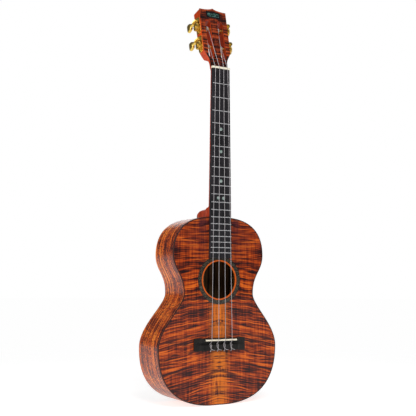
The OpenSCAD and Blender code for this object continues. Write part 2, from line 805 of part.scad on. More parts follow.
module tuner_plate(k) {
    color(gold) tuner_frame(k) difference() {
        union() {
            block([0, -plate_w / 2, plate_low + 2], [plate_t, plate_w / 2, plate_high - 2]);
            block([0, -plate_w / 2 + 3, plate_low], [plate_t, plate_w / 2 - 3, plate_high]);
            for (y = [-ear_y, ear_y - ear_t]) sheet_xz(y, y + ear_t) {
                translate([0, worm_up - ear_r + 0.5]) square([worm_out, 2 * ear_r - 1]);
                translate([worm_out, worm_up]) circle(ear_r);
            }
        }
        rod_x(-eps, plate_t + eps, shaft_r + run);
        translate([worm_out, 0, worm_up]) {
            rod_y(-ear_y - eps, 0, front_journal_r + run);
            rod_y(0, ear_y + eps, key_r + run);
        }
        for (z = screw_at) translate([0, 0, z]) rod_x(-eps, plate_t + eps, screw_r);
    }
}
module tuner_screws() {
    color(gold) for (k = KEYS) tuner_frame(k) for (z = screw_at) translate([0, 0, z]) difference() {
        union() {
            rod_x(0.5 - screw_len, plate_t + 0.1, screw_r);
            rod_x(plate_t, plate_t + screw_head_t, screw_head_r);
        }
        block([plate_t + screw_head_t / 2, -screw_slot_half, -screw_head_r],
            [plate_t + screw_head_t + eps, screw_slot_half, screw_head_r]);
    }
}
module roller(k) {
    hole_x = abs(roller_x(k)) - head_half + string_r + 3.4 * string_d + 1.2;    // past the wraps
    hole_half = 0.9;
    color(gold) tuner_frame(k) difference() {
        union() {
            rod_x(-roller_reach, -play / 2, barrel_r);
            rod_x(-play, gear_end - 0.1, shaft_r);
        }
        translate([hole_x, 0, 0]) rod_y(-barrel_r - eps, barrel_r + eps, hole_half);
        rod_x(gear_screw_depth, gear_end + eps, gear_screw_r);
    }
}
gear_screw_r = 1.2;
gear_screw_depth = gear_end - 5;
// The gear's teeth: half thicknesses at the root, at the pitch circle and at the tip
tooth = [[pitch_r - 1.2 * gear_module, 0.95], [pitch_r, 0.62], [pitch_r + 0.88 * gear_module, 0.32]];
function tooth_point(c, row, sign) = let (a = c + sign * asin(row[1] / row[0]))
    row[0] * [sin(a), cos(a)];
module gear(k) {
    step = 360 / gear_teeth;
    color(gold) tuner_frame(k) difference() {
        union() {
            sheet_yz(gear_start, gear_end) polygon([for (i = [0 : gear_teeth - 1])
                let (c = (i + 0.5) * step)
                each concat([for (row = tooth) tooth_point(c, row, -1)],
                    [for (row = reversed(tooth)) tooth_point(c, row, 1)])]);
            rod_x(plate_t + play, gear_start + 0.5, barrel_r);
        }
        rod_x(0, gear_end + eps, shaft_r);
    }
}
module gear_screw(k) {
    head_r = 2.8;
    head_t = 1.4;
    slot_half = 0.3;
    slot_floor = gear_end + 0.8;
    color(gold) tuner_frame(k) difference() {
        union() {
            rod_x(gear_screw_depth + 0.2, gear_end + 0.1, gear_screw_r);
            rod_x(gear_end, gear_end + head_t, head_r);
        }
        block([slot_floor, -slot_half, -head_r - eps], [gear_end + head_t + eps, slot_half, head_r + eps]);
    }
}
// One turn of the worm's thread, seen along its axis: a flat crest, a slope, and the root
crest_half = 0.2;
slope_end = 0.75;
function worm_edge(phase) = let (off = abs(phase - 0.5) * worm_lead)
    off < crest_half ? worm_tip : off > slope_end ? worm_root
    : worm_tip + (worm_root - worm_tip) * (off - crest_half) / (slope_end - crest_half);
key_grip = 5.5;     // how far the shaft reaches into the button
module worm(k) {
    cap_r = 2.5;    // the cap that holds the shaft in the front ear
    boss_r = 3.2;   // the thick part of the shaft behind the rear ear
    steps = 16;
    turns = 2 * worm_half / worm_lead;
    start = -90 - 180 * turns;      // so that the crest faces the gear halfway along
    color(gold) tuner_frame(k) translate([worm_out, 0, worm_up]) {
        rotate([-90, 0, 0]) linear_extrude(height = 2 * worm_half, center = true,
            twist = -360 * turns, slices = round(turns * 14), segments = steps)
            polygon([for (i = [0 : steps - 1]) let (a = start + 360 * i / steps)
                worm_edge(i / steps) * [cos(a), sin(a)]]);
        rod_y(-ear_y - 0.9, -worm_half, front_journal_r);
        rod_y(-ear_y - 1.6, -ear_y - play, cap_r);
        rod_y(worm_half, button_y + key_grip, key_r);
        rod_y(ear_y + play, ear_y + 6.5, boss_r);
    }
}
button_y = button_start - roller_depth;
collar = 2;         // the button's collar reaches this far towards the head
collar_r = 3;
function oval(a, b, power) = [for (i = [0 : 31]) let (t = 360 * i / 32, c = cos(t), s = sin(t))
    [a * sign(c) * pow(abs(c), power), b * sign(s) * pow(abs(s), power)]];
module button(k) {
    color(gold) tuner_frame(k) translate([worm_out, 0, worm_up]) difference() {
        union() {
            translate([0, button_y + button_len / 2, 0]) intersection() {
                sheet_yz(-button_t, button_t) polygon(oval(button_len / 2, button_w / 2, 0.85));
                linear_extrude(2 * button_w, center = true)
                    polygon(oval(button_t / 2, button_len / 2, 0.6));
                sheet_xz(-button_len, button_len) polygon(oval(button_t / 2, button_w / 2, 0.6));
            }
            rod_y(button_y - collar, button_y + 2.5, collar_r);
        }
        rod_y(button_y - collar - eps, button_y + key_grip + 0.1, key_r);
    }
}

soundboard(-1);  // soundboard_left
soundboard(1);  // soundboard_right
rosette();
top_binding();
rib(-1);  // side_left
rib(1);  // side_right
back_plate(-1);  // back_left
back_plate(1);  // back_right
back_binding();
top_linings();
back_linings();
neck_block();
tail_block();
soundboard_braces();
bridge_patch();
back_braces();
back_centre_strip();
neck();
heel_cap();
headplate();
head_inlay();
fretboard();
frets();
fret_markers();
nut();
bridge();
saddle();
tuner_screws();
for (k = KEYS) {
    string(k);
    string_wraps(k);
    tuner_plate(k);
    roller(k);
    gear(k);
    gear_screw(k);
    worm(k);
    button(k);
}
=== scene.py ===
"""The looks of a baritone ukulele with a slotted head, built round its CAD parts."""
import math

import bmesh
import bpy
from mathutils import Matrix, Vector


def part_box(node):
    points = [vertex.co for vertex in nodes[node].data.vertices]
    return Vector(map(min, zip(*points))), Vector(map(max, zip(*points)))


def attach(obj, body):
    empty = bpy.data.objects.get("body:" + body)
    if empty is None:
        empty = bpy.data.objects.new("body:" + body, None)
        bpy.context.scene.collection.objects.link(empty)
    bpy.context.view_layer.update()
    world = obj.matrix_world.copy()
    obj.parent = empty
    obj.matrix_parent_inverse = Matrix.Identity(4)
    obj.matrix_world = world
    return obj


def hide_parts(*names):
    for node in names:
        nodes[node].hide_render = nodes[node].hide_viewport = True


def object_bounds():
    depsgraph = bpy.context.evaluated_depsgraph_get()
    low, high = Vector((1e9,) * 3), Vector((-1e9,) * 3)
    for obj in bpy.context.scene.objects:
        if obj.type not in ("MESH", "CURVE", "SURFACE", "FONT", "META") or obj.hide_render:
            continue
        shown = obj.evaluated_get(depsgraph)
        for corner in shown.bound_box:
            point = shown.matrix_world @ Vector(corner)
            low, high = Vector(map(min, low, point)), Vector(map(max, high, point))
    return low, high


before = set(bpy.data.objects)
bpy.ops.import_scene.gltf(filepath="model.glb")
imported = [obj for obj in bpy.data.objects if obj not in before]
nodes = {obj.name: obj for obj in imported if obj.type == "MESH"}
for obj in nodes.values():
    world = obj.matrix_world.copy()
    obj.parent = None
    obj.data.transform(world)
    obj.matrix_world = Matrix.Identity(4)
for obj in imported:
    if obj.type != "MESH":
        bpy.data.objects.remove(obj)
cad_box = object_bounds()

MM = 0.001
TOUCH = 0.001 * MM              # points of an outline this near each other are one
KEYS = (1, 2, 3, 4)

# --- Places taken from the CAD parts ---

top_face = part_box("soundboard_right")[0].y
body_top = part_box("side_right")[1].z
body_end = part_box("side_right")[0].z
rosette_low, rosette_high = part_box("rosette")
hole_z = (rosette_low.z + rosette_high.z) / 2
rosette_r = (rosette_high.z - rosette_low.z) / 2
rosette_w = 8 * MM
depth_neck = 72 * MM
depth_tail = 87.5 * MM
binding_h = 4 * MM
binding_t = 2 * MM
head_tilt = math.radians(13)
head_foot = Vector((0, 8.3 * MM, 4.3 * MM))     # where the head's face meets the nut


def back_at(z):
    """Depth of the back's outer face."""
    part = (body_top - z) / (body_top - body_end)
    return top_face + depth_neck + (depth_tail - depth_neck) * part


def in_head(point):
    """A point as seen from the head: across, into the wood, up the head."""
    away = Vector(point) - head_foot
    c, s = math.cos(head_tilt), math.sin(head_tilt)
    return Vector((away.x, away.y * c - away.z * s, away.y * s + away.z * c))


def from_head(x, depth, up):
    """The place of a point given as the head sees it."""
    c, s = math.cos(head_tilt), math.sin(head_tilt)
    return head_foot + Vector((x, depth * c + up * s, up * c - depth * s))


def placed(name, data):
    """A new object, put in the scene."""
    obj = bpy.data.objects.new(name, data)
    bpy.context.scene.collection.objects.link(obj)
    return obj


# --- Camera ---

camera = placed("camera", bpy.data.cameras.new("camera"))
camera.data.lens = 67.1
camera.data.sensor_width = 36
look = Vector((0.48390, 0.87007, 0.09393)).normalized()
upward = Vector((-0.04872, -0.08039, 0.99557)).normalized()
camera.matrix_world = Matrix((look.cross(upward), upward, -look)).transposed().to_4x4()
camera.location = (-0.7205, -1.2458, -0.4008)
bpy.context.scene.camera = camera


# --- Finishes ---

def tone(red, green, blue):
    """A display colour, 0 to 255, as the linear colour that a shader takes."""
    linear = [c / 12.92 if c <= 0.04045 else ((c + 0.055) / 1.055) ** 2.4
              for c in (red / 255, green / 255, blue / 255)]
    return (*linear, 1.0)


class Wire:
    """A shader socket that can be used in sums."""

    def __init__(self, finish, socket):
        self.finish, self.socket = finish, socket

    def work(self, operation, *values):
        return self.finish.add("ShaderNodeMath", {"operation": operation},
                               dict(enumerate(values)))

    def __add__(self, other): return self.work("ADD", self, other)
    def __radd__(self, other): return self.work("ADD", other, self)
    def __sub__(self, other): return self.work("SUBTRACT", self, other)
    def __rsub__(self, other): return self.work("SUBTRACT", other, self)
    def __mul__(self, other): return self.work("MULTIPLY", self, other)
    def __truediv__(self, other): return self.work("DIVIDE", self, other)
    def __abs__(self): return self.work("ABSOLUTE", self)

    def larger(self, other): return self.work("MAXIMUM", self, other)


class Finish:
    """A material, with the nodes that make its pattern."""

    def __init__(self, name, roughness=0.4, metallic=0.0, coat=0.0, **settings):
        self.material = bpy.data.materials.new(name)
        self.material.use_nodes = True
        self.tree = self.material.node_tree
        self.shader = self.tree.nodes["Principled BSDF"]
        self.set(Roughness=roughness, Metallic=metallic, Coat_Weight=coat, Coat_Roughness=0.06)
        self.set(**settings)
        self.here = self.add("ShaderNodeTexCoord", out="Object")
        self.x, self.y, self.z = (self.add("ShaderNodeSeparateXYZ", {}, {0: self.here}, out)
                                  for out in range(3))

    def add(self, kind, settings=None, inputs=None, out=0):
        """A new node's output, with its settings made first and its sockets set or linked."""
        node = self.tree.nodes.new(kind)
        for key, value in (settings or {}).items():
            if key == "stops":
                ramp = node.color_ramp
                while len(ramp.elements) < len(value):
                    ramp.elements.new(1)
                for element, (place, colour) in zip(ramp.elements, value):
                    element.position, element.color = place, colour
            else:
                setattr(node, key, value)
        for key, value in (inputs or {}).items():
            self.join(value, node.inputs[key])
        return Wire(self, node.outputs[out])

    def join(self, value, socket):
        """Links a wire to a socket, or sets the socket to a plain value."""
        if isinstance(value, Wire):
            self.tree.links.new(value.socket, socket)
        else:
            socket.default_value = value

    def set(self, **values):
        """Sets or links the shader's own sockets, named with _ for a space."""
        for key, value in values.items():
            self.join(value, self.shader.inputs[key.replace("_", " ")])
        return self

    def at(self, x, y, z):
        return self.add("ShaderNodeCombineXYZ", {}, {0: x, 1: y, 2: z})

    def noise(self, where, detail=2.0, roughness=0.5, distortion=0.0):
        return self.add("ShaderNodeTexNoise", {}, {
            "Vector": where, "Scale": 1.0, "Detail": detail, "Roughness": roughness,
            "Distortion": distortion})

    def cells(self, where):
        """A random colour for each cell of a broken pattern."""
        return self.add("ShaderNodeTexVoronoi", {}, {"Vector": where, "Scale": 1.0}, "Color")

    def length(self, where):
        return self.add("ShaderNodeVectorMath", {"operation": "LENGTH"}, {0: where}, "Value")

    def ramp(self, value, *stops):
        return self.add("ShaderNodeValToRGB", {"stops": stops}, {0: value}, "Color")

    def fade(self, value, low, high):
        """0 below low and 1 above high, with a smooth way between; low may be the larger."""
        return self.add("ShaderNodeMapRange", {"interpolation_type": "SMOOTHSTEP"},
                        {"Value": value, 1: low, 2: high, 3: 0.0, 4: 1.0})

    def mix(self, part, first, second, how="MIX"):
        """Two colours in one: all of the first at part 0, all of the second at part 1."""
        return self.add("ShaderNodeMix", {"data_type": "RGBA", "blend_type": how},
                        {0: part, 6: first, 7: second}, 2)

    def shade(self, colour, value):
        """A colour made darker or lighter by a value."""
        return self.mix(1.0, colour, self.at(value, value, value), "MULTIPLY")

    def bump(self, height, strength, distance):
        return self.add("ShaderNodeBump", {}, {
            "Height": height, "Strength": strength, "Distance": distance})


# In noise(), the numbers that multiply a place say how many spots of the pattern fit in a metre
# that way. A seed moves the pattern, so that no two boards are alike.

FLAMED_COAT = 0.3               # lacquer on the flamed boards


def flamed_koa(name, stops, droop, seed, head=False, centre=0.0, upper_dark=0.0):
    """Bookmatched koa: bands of curl across the grain, the same on both sides of the middle."""
    f = Finish(name, roughness=0.42, coat=FLAMED_COAT, Specular_IOR_Level=0.12)
    away, z = abs(f.x), f.z
    # the bands fall away from the middle; on a body they do so below the soundhole only
    slope = droop if head else f.fade(z, hole_z + 90 * MM, hole_z - 40 * MM) * droop
    bend = 16 * MM
    wander = f.noise(f.at(away * 14 + seed, seed, z * 12), 2)
    line = z + away * away / (away + bend) * slope + (wander - 0.5) * 13 * MM
    broad = f.noise(f.at(away * 7, seed + 9, line * 17), 2, 0.5)
    bands = f.noise(f.at(away * 7, seed, line * 92), 2, 0.5)
    curls = f.noise(f.at(away * 11, seed + 3, line * 230), 2, 0.55)
    fine = f.noise(f.at(away * 26, seed + 5, line * 560), 1)
    streaks = f.noise(f.at(away * 5 + 5, seed + 7, line * 108), 2, 0.45)
    blotch = f.noise(f.at(away * 30, seed + 11, z * 13), 2)
    ribbon = f.noise(f.at(f.x * 300, seed, z * 16), 2, 0.55)
    pores = f.noise(f.at(f.x * 1500, seed, z * 75), 1)
    to_middle = -1.02           # brings the sum's mean to 0.5
    figure = (broad * 0.36 + bands * 0.4 + curls * 0.8 + fine * 0.7 + blotch * 0.42
              + ribbon * 0.36 + to_middle)
    colour = f.ramp(figure, *stops)
    if centre:                  # a bright strip of sapwood along the glue line
        glow = (f.fade(away, 27 * MM, 4 * MM)
                * f.fade(z, hole_z - 20 * MM, hole_z - 60 * MM)
                * f.fade(ribbon + bands, 0.78, 1.02))
        colour = f.mix(glow * centre, colour, tone(214, 112, 22))
    if upper_dark:              # darker purple columns beside the fretboard, on the upper bout
        upper_bout = f.fade(z, hole_z + 20 * MM, hole_z + 75 * MM)
        column = f.fade(abs(away - 37 * MM + (wander - 0.5) * 30 * MM), 13 * MM, 4 * MM)
        purple = upper_bout * (f.fade(blotch, 0.46, 0.62) * 0.6 + column * 0.7) * upper_dark
        colour = f.mix(purple, colour, tone(66, 26, 34))
    thin = f.fade(abs(streaks - 0.5), 0.03, 0.01) * f.fade(blotch + broad, 0.86, 1.02)
    colour = f.mix(thin * 0.85, colour, tone(36, 12, 16))
    colour = f.mix(f.fade(pores, 0.66, 0.74) * 0.4, colour, tone(40, 16, 12))
    f.colour = colour
    return f.set(Base_Color=colour, Roughness=0.36 + figure * 0.16,
                 Normal=f.bump(bands * 0.5 + curls * 0.5, 0.2, 2 * MM))


warm = ((0.35, tone(28, 9, 13)), (0.43, tone(74, 24, 14)), (0.51, tone(130, 45, 12)),
        (0.59, tone(166, 62, 14)), (0.69, tone(206, 96, 24)))
deep = ((0.4, tone(22, 9, 8)), (0.47, tone(70, 24, 14)), (0.54, tone(128, 46, 22)),
        (0.64, tone(168, 72, 32)))

koa_top = flamed_koa("flamed koa soundboard", warm, droop=0.19, seed=2.0, centre=0.9,
                     upper_dark=0.6)
from_hole = koa_top.length(koa_top.at(koa_top.x, 0.0, koa_top.z - hole_z))
rim_edge = rosette_r - rosette_w         # plain wood from here in to the soundhole
koa_top.set(Base_Color=koa_top.mix(koa_top.fade(from_hole, rim_edge, rim_edge - 0.3 * MM),
                                   koa_top.colour, tone(196, 88, 26)))

koa_back = flamed_koa("flamed koa back", warm, droop=0.14, seed=31.0)
back_face = ((body_top - koa_back.z) * (depth_tail - depth_neck) / (body_top - body_end)
             + top_face + depth_neck)
inner_face = koa_back.fade(back_face - koa_back.y, 0.8 * MM, 1.2 * MM)
# the back's inner face: bare unlacquered koa, painted darker than the other inner wood as
# painted shade inside the body
bare_koa_and_painted_shade = koa_back.ramp(
    koa_back.noise(koa_back.at(koa_back.x * 150, 4.0, koa_back.z * 6), 2),
    (0.38, tone(44, 32, 24)), (0.62, tone(104, 78, 52)))
koa_back.set(Base_Color=koa_back.mix(inner_face, koa_back.colour, bare_koa_and_painted_shade),
             Coat_Weight=(1.0 - inner_face) * FLAMED_COAT)

koa_head = flamed_koa("flamed koa headplate", deep, droop=0.05, seed=53.0, head=True)


def ribbon_koa(name, binding=False):
    """Koa bent round the ribs: its grain runs along the edge, with rows of dark flecks."""
    f = Finish(name, roughness=0.42, coat=0.38, Specular_IOR_Level=0.12, Coat_Roughness=0.2)
    wander = f.noise(f.at(f.x * 10, f.y * 14, f.z * 10), 2)
    across = f.y + (wander - 0.5) * 14 * MM
    streaks = f.noise(f.at(f.x * 6, across * 170, f.z * 6), 3, 0.6)
    lines = f.noise(f.at(f.x * 14, across * 620, f.z * 14), 2, 0.55)
    flecks = f.noise(f.at(f.x * 300, across * 600, f.z * 300), 2, 0.7)
    curl = f.noise(f.at(f.x * 60, f.y * 12, f.z * 60), 2)
    to_middle = -0.21
    figure = streaks * 0.62 + lines * 0.5 + curl * 0.3 + to_middle
    colour = f.ramp(figure, (0.38, tone(76, 28, 20)), (0.45, tone(154, 60, 22)),
                    (0.52, tone(216, 94, 24)), (0.62, tone(244, 138, 50)))
    dark = f.fade(flecks, 0.5, 0.53) * f.fade(streaks, 0.74, 0.5)
    colour = f.mix(dark * 0.95, colour, tone(40, 15, 22))
    edge = f.y - top_face
    if binding:                 # a dark line where the binding meets the soundboard
        colour = f.mix(f.fade(edge, 1.3 * MM, 0.9 * MM), colour, tone(50, 22, 16))
    else:                       # and one on the rib, just behind the binding
        colour = f.mix(f.fade(abs(edge - binding_h - 0.5 * MM), 0.55 * MM, 0.4 * MM), colour,
                       tone(30, 14, 12))
    return f.set(Base_Color=colour, Normal=f.bump(streaks + curl * 0.4, 0.2, 2 * MM),
                 Roughness=0.38 + figure * 0.14)


koa_side = ribbon_koa("koa rib")
binding_wood = ribbon_koa("koa binding", binding=True)


def plain_wood(name, dark, light, grain=260, roughness=0.4, coat=0.0):
    """Straight-grained wood with pores, its grain along the neck."""
    f = Finish(name, roughness=roughness, coat=coat, Specular_IOR_Level=0.2)
    wander = f.noise(f.at(f.x * 8, f.y * 8, f.z * 8), 1)
    broad, long = grain * 0.3, 9
    bands = f.noise(f.at(f.x * broad + wander * 3, f.y * broad, f.z * long), 3, 0.55)
    fine = f.noise(f.at(f.x * grain * 3, f.y * grain * 3, f.z * long * 5), 2, 0.6)
    figure = bands * 0.6 + fine * 0.4
    return f.set(Base_Color=f.ramp(figure, (0.34, dark), (0.66, light)),
                 Normal=f.bump(fine, 0.15, 1 * MM),
                 Roughness=roughness - 0.06 + figure * 0.12)


neck_wood = plain_wood("red mahogany neck", tone(118, 26, 2), tone(216, 72, 4), grain=170,
                       coat=0.25)
inner_wood = plain_wood("bare lining wood", tone(150, 108, 66), tone(196, 156, 106),
                        roughness=0.7)
brace_wood = plain_wood("spruce braces", tone(198, 160, 108), tone(226, 196, 146),
                        roughness=0.7)
ebony = plain_wood("ebony", tone(12, 12, 14), tone(44, 42, 46), grain=420, roughness=0.36,
                   coat=0.2)
bridge_wood = plain_wood("bridge ebony", tone(12, 11, 10), tone(38, 35, 32), grain=420,
                         roughness=0.42)


def worked(name, colour, roughness, metallic=1.0, coat=0.0):
    """Metal, bone or nylon with faint marks of its making."""
    f = Finish(name, roughness=roughness, metallic=metallic, coat=coat)
    cloud = f.noise(f.at(f.x * 240, f.y * 240, f.z * 240), 3)
    marks = f.noise(f.at(f.x * 1900, f.y * 1900, f.z * 500), 2)
    return f.set(Base_Color=f.shade(colour, 0.86 + cloud * 0.26),
                 Roughness=roughness + cloud * 0.1,
                 Normal=f.bump(marks, 0.05, 0.6 * MM))


gold = worked("gold plating", tone(232, 198, 104), 0.24)
fret_metal = worked("fret nickel silver", tone(206, 206, 208), 0.22)
bone = worked("bone", tone(236, 228, 206), 0.34, metallic=0.0, coat=0.4)
nylon = worked("nylon string", tone(166, 160, 162), 0.3, metallic=0.0, coat=0.3)


def shell(name, stops, size=420.0, dark=0.4):
    """Slices of abalone, set side by side under the lacquer."""
    f = Finish(name, roughness=0.2, coat=0.3, Specular_IOR_Level=0.3)
    slices = f.cells(f.at(f.x * size, f.y * size, f.z * size))
    tint = f.add("ShaderNodeSeparateXYZ", {}, {0: slices}, 0)
    swirl = f.noise(f.at(f.x * 330 + tint * 6, f.y * 330, f.z * 330), 3, 0.6, 1.5)
    f.colour = f.shade(f.ramp(swirl, *stops), 1.0 - dark + tint * 2 * dark)
    return f.set(Base_Color=f.colour, Roughness=0.16 + swirl * 0.15,
                 Normal=f.bump(swirl, 0.2, 1 * MM))


dot_shell = shell("pale abalone dots", (
    (0.3, tone(84, 112, 110)), (0.5, tone(140, 160, 150)), (0.7, tone(176, 168, 176))),
    dark=0.12)

ring_shell = shell("abalone rosette", (
    (0.38, tone(13, 11, 10)), (0.47, tone(32, 27, 22)), (0.56, tone(74, 62, 47)),
    (0.66, tone(64, 74, 62))), size=560.0, dark=0.55)
from_hole = ring_shell.length(ring_shell.at(ring_shell.x, 0.0, ring_shell.z - hole_z))
from_middle = abs(from_hole - (rosette_r - rosette_w / 2))
ring_line = ring_shell.fade(from_middle, rosette_w / 2 - 0.9 * MM, rosette_w / 2 - 0.7 * MM)
ring_shell.set(Base_Color=ring_shell.mix(ring_line, ring_shell.colour, tone(18, 14, 12)))

panel_shell = shell("abalone head panel", (
    (0.44, tone(8, 11, 13)), (0.51, tone(24, 48, 48)), (0.56, tone(66, 122, 98)),
    (0.61, tone(58, 52, 92)), (0.68, tone(150, 170, 150))), size=330.0, dark=0.45)
panel_low, panel_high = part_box("head_inlay")
panel_z = (panel_low.z + panel_high.z) / 2
end_line = panel_shell.fade(abs(panel_shell.x), panel_high.x - 3.2 * MM,
                            panel_high.x - 2.9 * MM)
long_line = panel_shell.fade(abs(panel_shell.z - panel_z), 3.7 * MM, 4.0 * MM)
panel_shell.set(Base_Color=panel_shell.mix(end_line.larger(long_line), panel_shell.colour,
                                           tone(16, 15, 17)))

floor_white = Finish("studio floor", roughness=0.9, Specular_IOR_Level=0.0,
                     Emission_Strength=1.0)
far = floor_white.fade(floor_white.length(floor_white.here), 0.45, 1.3)
floor_white.set(
    Base_Color=floor_white.ramp(far, (0.0, tone(225, 225, 225)), (1.0, tone(0, 0, 0))),
    Emission_Color=floor_white.ramp(far, (0.0, tone(216, 216, 216)),
                                    (1.0, tone(254, 254, 254))))


# --- Ways to make a piece ---

def piece(name, bm, finish, body, stands_for, sharp=35.0):
    """A finished object from a bmesh, riding on a body and standing for CAD nodes."""
    mesh = bpy.data.meshes.new(name)
    for face in bm.faces:
        face.smooth = True
    for edge in bm.edges:
        edge.smooth = (len(edge.link_faces) == 2
                       and edge.calc_face_angle(0) < math.radians(sharp))
    bm.to_mesh(mesh)
    bm.free()
    obj = placed(name, mesh)
    mesh.materials.append(finish.material)
    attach(obj, body)
    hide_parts(*stands_for)
    return obj


def joined(node):
    """A CAD node's mesh with its points joined."""
    bm = bmesh.new()
    bm.from_mesh(nodes[node].data)
    bmesh.ops.remove_doubles(bm, verts=bm.verts, dist=2 * TOUCH)
    return bm


def eased(node, finish, body="body", edge=0.0, sharp=35.0, segments=2):
    """A CAD node with its sharp edges eased, as a hand or a polishing wheel leaves them."""
    bm = joined(node)
    bmesh.ops.dissolve_limit(bm, angle_limit=math.radians(0.4), use_dissolve_boundaries=False,
                             verts=bm.verts, edges=bm.edges, delimit={"NORMAL"})
    if edge:
        edges = [e for e in bm.edges if len(e.link_faces) == 2
                 and e.calc_face_angle(0) > math.radians(sharp)]
        bmesh.ops.bevel(bm, geom=edges, offset=edge, offset_type="OFFSET", segments=segments,
                        profile=0.5, affect="EDGES", clamp_overlap=True, material=-1)
    obj = piece(node + "_eased", bm, finish, body, [node], sharp)
    even = obj.modifiers.new("even shading", "WEIGHTED_NORMAL")
    even.keep_sharp = True
    even.weight = 80


def dressed(node, finish):
    """A CAD node that keeps its shape and takes a finish."""
    nodes[node].data.materials.clear()
    nodes[node].data.materials.append(finish.material)


# --- The body ---

def outline_points():
    """The body's edge as curve points, clockwise: place, handle before, handle after."""
    # millimetres across and up from where the neck joins, the handles from their place
    right = [
        ((15, 0), (-5, 0), (42, 0)),                    # flat under the neck
        ((96, -69), (0, 52), (0, -31)),                 # upper bout
        ((73.7, -142.5), (0, 38), (0, -22)),            # waist
        ((124.5, -240), (0, 39), (0, -112.84)),         # lower bout
    ]
    tail = ((0, -344), (17, 0), (-17, 0))
    left = [((-x, z), (-after[0], after[1]), (-before[0], before[1]))
            for (x, z), before, after in reversed(right)]
    for place, before, after in [*right, tail, *left]:
        place, before, after = (Vector((x, 0, z)) * MM
                                for x, z in (place, before, after))
        place.z += body_top
        yield place, place + before, place + after


def outline_mesh():
    """The body's edge as one closed loop."""
    curve = bpy.data.curves.new("edge", "CURVE")
    curve.dimensions = "3D"
    curve.resolution_u = 36
    spline = curve.splines.new("BEZIER")
    points = list(outline_points())
    spline.bezier_points.add(len(points) - 1)
    for bezier, (place, before, after) in zip(spline.bezier_points, points):
        bezier.co, bezier.handle_left, bezier.handle_right = place, before, after
    spline.use_cyclic_u = True
    temp = bpy.data.objects.new("edge", curve)
    mesh = bpy.data.meshes.new_from_object(temp)
    bpy.data.objects.remove(temp)
    return mesh


EDGE = outline_mesh()


def over(v):
    """Where a point is on the outline, whatever its depth."""
    return round(v.co.x, 6), round(v.co.z, 6)


def rim(name, front, behind, finish, stands_for, side=0, round_front=0.0,
        round_back=0.0):
    """A band let in round the body's edge, between two depths that may change along the body."""
    bm = bmesh.new()
    bm.from_mesh(EDGE)
    bmesh.ops.remove_doubles(bm, verts=bm.verts, dist=TOUCH)
    outer = {over(v) for v in bm.verts}
    face = bmesh.ops.contextual_create(bm, geom=bm.edges[:])["faces"]
    bmesh.ops.inset_region(bm, faces=face, thickness=binding_t, use_even_offset=True,
                           use_boundary=True)
    bmesh.ops.delete(bm, geom=[f for f in bm.faces if len(f.verts) > 4], context="FACES_ONLY")
    if side:
        bmesh.ops.bisect_plane(bm, geom=bm.verts[:] + bm.edges[:] + bm.faces[:], dist=TOUCH,
                               plane_co=(0, 0, 0), plane_no=(-side, 0, 0), clear_outer=True)
    for v in bm.verts:
        v.co.y = front(v.co.z)
    grown = bmesh.ops.extrude_face_region(bm, geom=bm.faces[:], use_keep_orig=True)["geom"]
    for v in grown:
        if isinstance(v, bmesh.types.BMVert):
            v.co.y = behind(v.co.z)
    bmesh.ops.recalc_face_normals(bm, faces=bm.faces)
    for depth, radius in ((front, round_front), (behind, round_back)):
        if radius:
            edges = [e for e in bm.edges if all(
                over(v) in outer and abs(v.co.y - depth(v.co.z)) < TOUCH for v in e.verts)]
            bmesh.ops.bevel(bm, geom=edges, offset=radius, offset_type="OFFSET", segments=4,
                            profile=0.5, affect="EDGES", material=-1)
    piece(name, bm, finish, "body", stands_for, sharp=50.0)


for word, side in (("left", -1), ("right", 1)):
    rim(f"rib_{word}", lambda z: top_face + binding_h, lambda z: back_at(z) - binding_h,
        koa_side, [f"side_{word}"], side)
    dressed(f"soundboard_{word}", koa_top)
    dressed(f"back_{word}", koa_back)
rim("front_binding", lambda z: top_face, lambda z: top_face + binding_h, binding_wood,
    ["top_binding"], round_front=1.1 * MM)
rim("rear_binding", lambda z: back_at(z) - binding_h, back_at, binding_wood,
    ["back_binding"], round_back=1.1 * MM)
for node in ("top_linings", "back_linings", "neck_block", "tail_block", "bridge_patch"):
    dressed(node, inner_wood)
for node in ("soundboard_braces", "back_braces", "back_centre_strip"):
    dressed(node, brace_wood)
dressed("rosette", ring_shell)


# --- The neck and the head ---

def neck_skin():
    """The CAD neck as one even skin of small faces."""
    bm = joined("neck")
    blank = placed("neck_blank", bpy.data.meshes.new("neck_blank"))
    bm.to_mesh(blank.data)
    bm.free()
    skin = blank.modifiers.new("skin", "REMESH")
    skin.mode = "VOXEL"
    skin.voxel_size = 0.95 * MM
    bpy.context.view_layer.update()
    mesh = bpy.data.meshes.new_from_object(
        blank.evaluated_get(bpy.context.evaluated_depsgraph_get()))
    bpy.data.objects.remove(blank)
    return mesh


def carved_neck():
    """The neck, with its joins to the heel and the head blended by hand."""
    bm = bmesh.new()
    bm.from_mesh(neck_skin())
    glued = 1.2 * MM            # wood this near a glued face keeps its shape
    at_cap = 3.2 * MM           # and so does wood this near the heel cap
    heel_reach, head_reach, board_reach = 30 * MM, 17 * MM, 6 * MM
    free, joint = [], []
    for v in bm.verts:
        seen = in_head(v.co)
        if v.co.z > 0:
            loose = seen.y > glued
        else:
            loose = v.co.y > top_face + glued and v.co.z > body_top + glued
        if loose and v.co.y < back_at(body_top) - at_cap:
            free.append(v)
            if (-heel_reach < v.co.z and seen.z < head_reach
                    and v.co.y > top_face + board_reach):
                joint.append(v)
    for verts, times in ((joint, 50), (free, 4)):
        for _ in range(times):
            bmesh.ops.smooth_vert(bm, verts=verts, factor=0.5, use_axis_x=True,
                                  use_axis_y=True, use_axis_z=True)
    piece("neck_carved", bm, neck_wood, "body", ["neck"], sharp=180.0)


